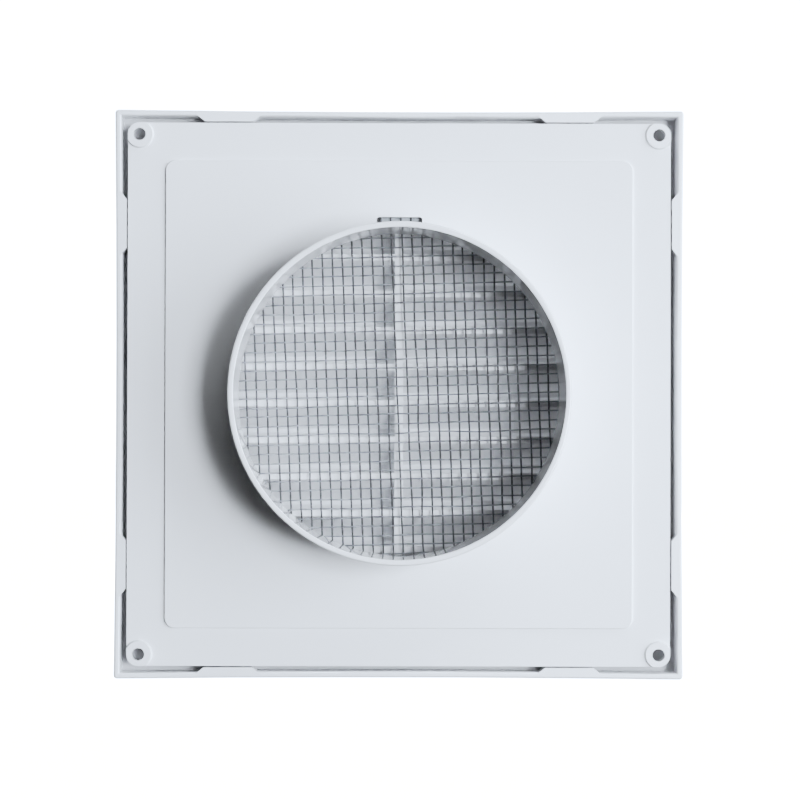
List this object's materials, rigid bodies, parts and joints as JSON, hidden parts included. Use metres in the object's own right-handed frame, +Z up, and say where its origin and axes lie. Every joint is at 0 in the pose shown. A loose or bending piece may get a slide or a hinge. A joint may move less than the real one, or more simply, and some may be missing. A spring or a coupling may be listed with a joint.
{
  "type": "louvred wall vent grille",
  "caption": "Square louvred outside-wall vent grille: base plate with a round duct spigot, woven insect screen, and a clip-on cover with fixed sloping blades.",
  "frame": {"origin": "on the duct axis, in the wall plane: the centre of the four screw holes' pattern at the rear face of the raised panel", "axes": "+Y into the wall along the duct axis, +Z up as installed, +X to the right when the louvres are looked at from outdoors"},
  "size_m": [0.2006, 0.061, 0.2006],
  "materials": {
    "base_plastic": "fine satin moulded white",
    "cover_plastic": "fine satin moulded white",
    "screen_wire": "drawn wire, dull"
  },
  "bodies": {
    "base": {"base_plate": "base_plastic", "duct_spigot": "base_plastic", "screen_warp_wires": "screen_wire", "screen_weft_wires": "screen_wire", "screen_pegs": "base_plastic", "screen_catch": "base_plastic"},
    "cover": {"cover_frame": "cover_plastic", "louvre_blade_01": "cover_plastic", "louvre_blade_02": "cover_plastic", "louvre_blade_03": "cover_plastic", "louvre_blade_04": "cover_plastic", "louvre_blade_05": "cover_plastic", "louvre_blade_06": "cover_plastic", "louvre_blade_07": "cover_plastic", "louvre_blade_08": "cover_plastic", "louvre_blade_09": "cover_plastic", "louvre_blade_10": "cover_plastic", "louvre_blade_11": "cover_plastic", "louvre_blade_12": "cover_plastic", "louvre_mullion": "cover_plastic", "cover_ledges": "cover_plastic", "clip_pads": "cover_plastic"}
  },
  "joints": [
    {"name": "cover_release", "type": "slide", "parent": "base", "child": "cover", "axis": [0, -1, 0], "range_m": [0, 0.05]}
  ]
}
